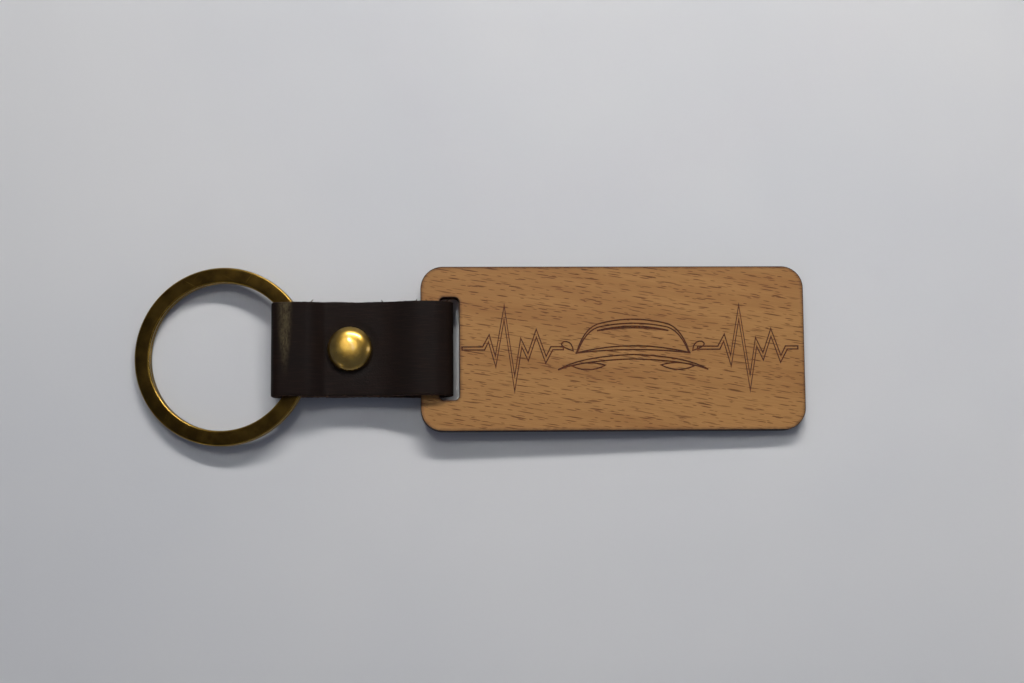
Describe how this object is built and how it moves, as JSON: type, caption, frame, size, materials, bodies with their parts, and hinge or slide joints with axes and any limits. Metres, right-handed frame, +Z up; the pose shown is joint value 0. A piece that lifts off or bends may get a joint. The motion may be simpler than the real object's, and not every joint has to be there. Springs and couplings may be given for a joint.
{
  "type": "key fob",
  "caption": "Key fob with a flat split ring, a riveted leather strap and an engraved wooden tag that swings in the strap's loop.",
  "frame": {"origin": "middle of the bounding box's base, on the table that the fob lies on", "axes": "+X from the split ring to the tag, along the fob; +Y across it; +Z up, away from the table"},
  "size_m": [0.1224, 0.0326, 0.0081],
  "materials": {
    "antique_brass": "antiqued, satin, with brighter rubbed edges",
    "strap_leather": "dark brown, smooth, with fine grain and one scuffed fold",
    "polished_brass": "polished dome with fine wear",
    "rivet_brass": "plain",
    "beech_face": "bare beech with short dark flecks and laser-charred edges",
    "beech_core": "bare beech, laser-charred on the cut edge"
  },
  "bodies": {
    "strap": {"strap_body": "strap_leather", "rivet_cap": "polished_brass", "rivet_socket": "rivet_brass", "rivet_post": "rivet_brass", "rivet_back_cap": "polished_brass"},
    "ring_loop": {"strap_ring_end": "strap_leather"},
    "ring": {"key_ring": "antique_brass"},
    "tag": {"tag_front_ply": "beech_face", "tag_core_ply": "beech_core", "tag_back_ply": "beech_face"}
  },
  "joints": [
    {"name": "strap_flex", "type": "hinge", "parent": "strap", "child": "ring_loop", "pos_m": [-0.02713, 0.001, 0.00515], "axis": [0, 1, 0], "range_deg": [-45, 60]},
    {"name": "ring_spin", "type": "hinge", "parent": "ring_loop", "child": "ring", "pos_m": [-0.04489, 0, 0.00297], "axis": [-0.1216, 0, 0.9926], "continuous": true},
    {"name": "tag_swing", "type": "hinge", "parent": "strap", "child": "tag", "pos_m": [-0.00713, 0.001, 0.0038], "axis": [0, 1, 0], "range_deg": [-110, 110]}
  ]
}
